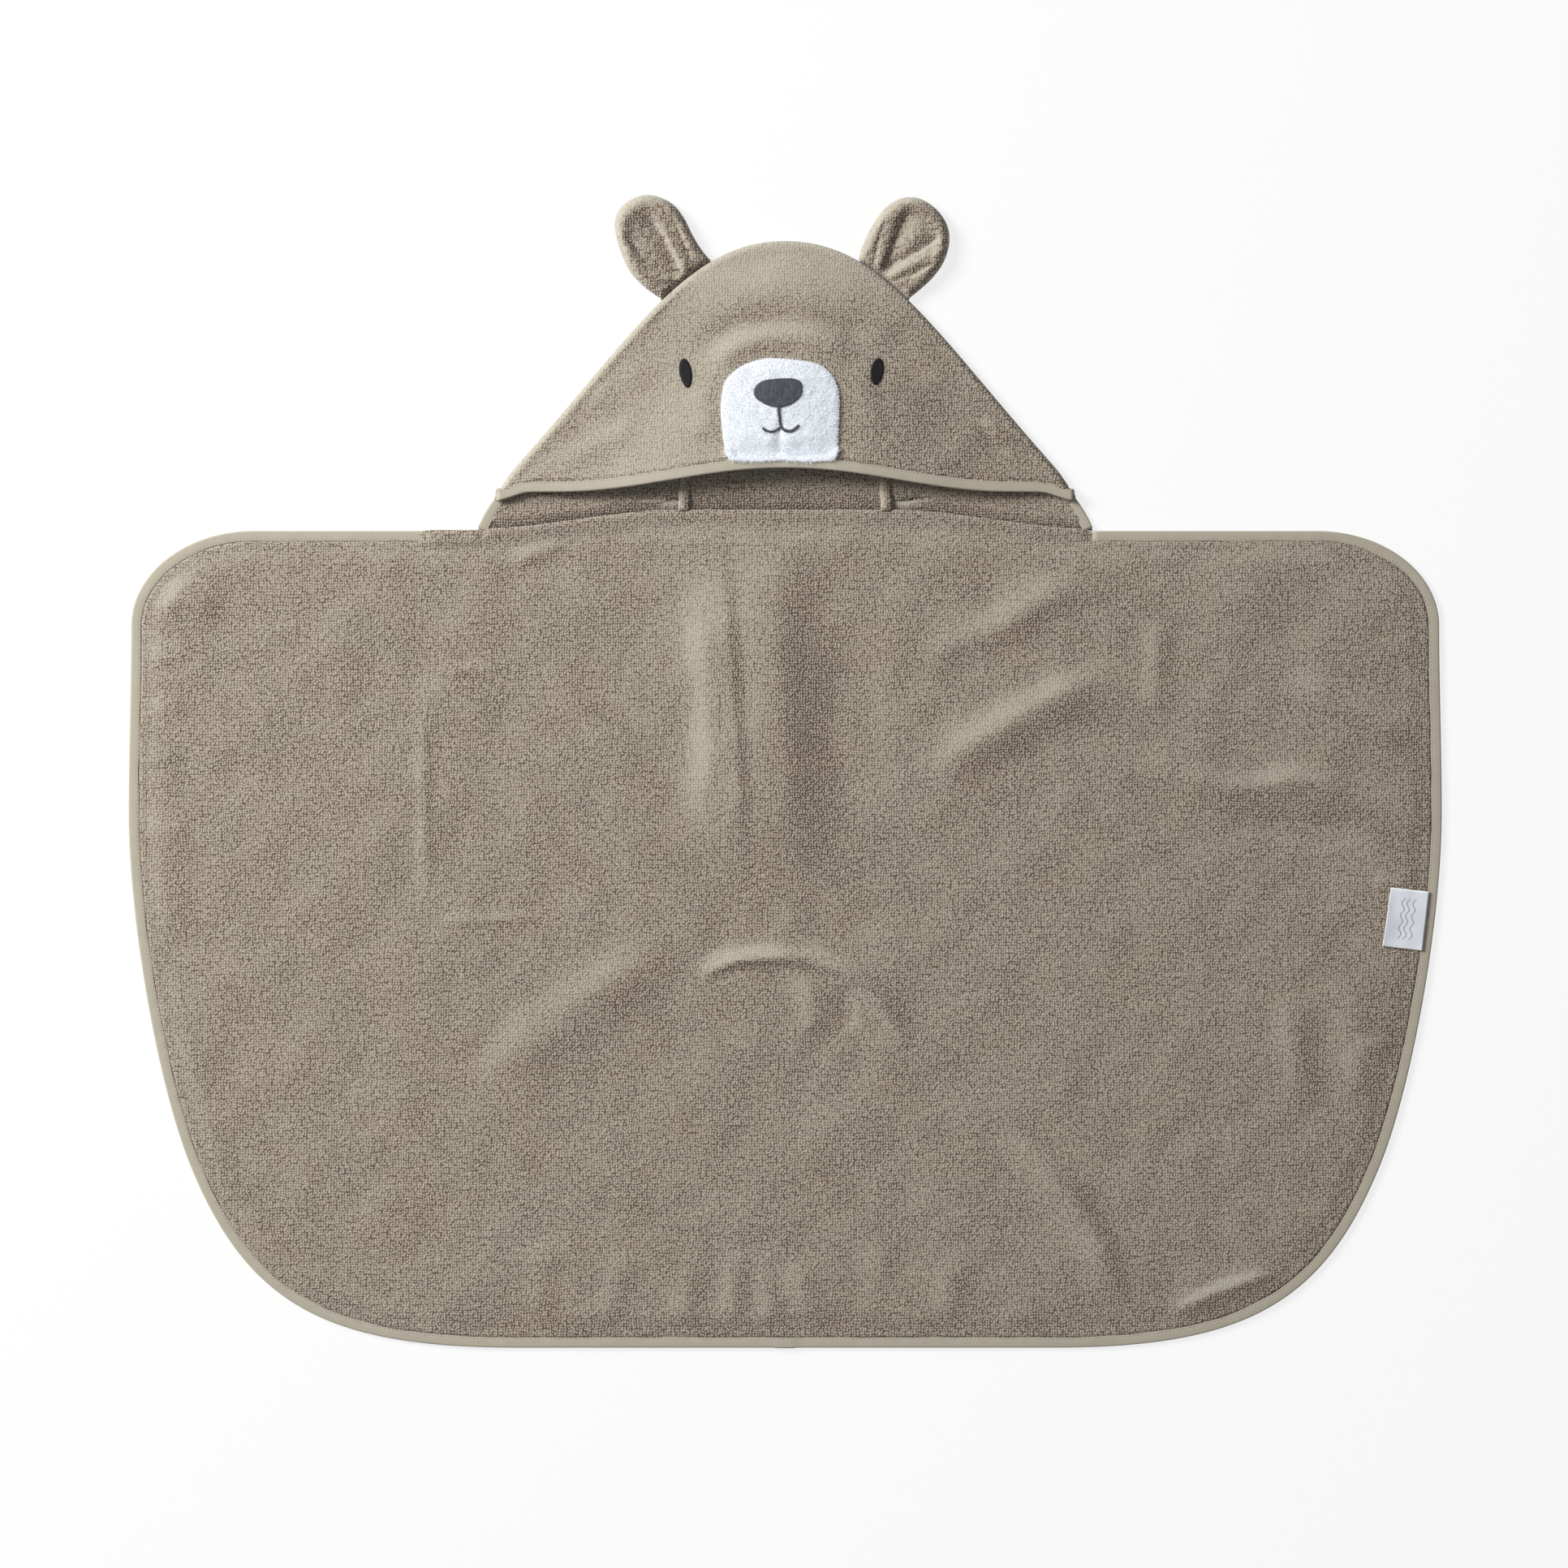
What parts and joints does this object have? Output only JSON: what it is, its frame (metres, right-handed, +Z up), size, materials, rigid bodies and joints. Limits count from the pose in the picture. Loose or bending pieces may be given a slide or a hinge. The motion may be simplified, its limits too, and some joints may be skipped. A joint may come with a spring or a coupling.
{
  "type": "hooded baby towel",
  "caption": "Hooded baby towel in terry with a bound edge, a hood shaped as an animal face with two ears, and a loop label; the hood folds forward, the ears and the label flip.",
  "frame": {"origin": "on the surface the towel lies on, under the middle of its bounding box", "axes": "+X across the towel's width, +Y from the hem towards the crown of the hood, +Z up from the surface, out of the face"},
  "size_m": [1, 0.875, 0.0369],
  "materials": {
    "terry": "cotton terry loops, warm greige",
    "binding": "plain-weave cotton bias strip, matt",
    "plush": "short-pile white plush",
    "embroidery": "satin-stitch thread, charcoal",
    "label_satin": "woven satin ribbon, pale grey"
  },
  "bodies": {
    "towel": {"body_panel": "terry", "edge_binding": "binding", "neck_tape": "binding"},
    "hood": {"hood_main_panel": "terry", "hood_back_gusset": "terry", "hood_seam_left": "terry", "hood_seam_right": "terry", "hood_edge_binding": "binding", "muzzle_patch": "plush", "nose_embroidery": "embroidery", "mouth_embroidery": "embroidery", "left_eye_embroidery": "embroidery", "right_eye_embroidery": "embroidery"},
    "left_ear": {"left_ear_front": "terry", "left_ear_back": "terry"},
    "right_ear": {"right_ear_front": "terry", "right_ear_back": "terry"},
    "label": {"woven_label": "label_satin"}
  },
  "joints": [
    {"name": "hood_fold", "type": "hinge", "parent": "towel", "child": "hood", "pos_m": [0, 0.18483, 0.0039], "axis": [1, 0, 0], "range_deg": [0, 150]},
    {"name": "left_ear_flop", "type": "hinge", "parent": "hood", "child": "left_ear", "pos_m": [-0.07492, 0.375, 0.0099], "axis": [0.7855, 0.6189, 0], "range_deg": [0, 150]},
    {"name": "right_ear_flop", "type": "hinge", "parent": "hood", "child": "right_ear", "pos_m": [0.07492, 0.375, 0.0099], "axis": [0.7855, -0.6189, 0], "range_deg": [0, 150]},
    {"name": "label_flip", "type": "hinge", "parent": "towel", "child": "label", "pos_m": [0.48616, -0.11214, 0.0046], "axis": [0.1249, 0.9922, 0], "range_deg": [0, 165]}
  ]
}
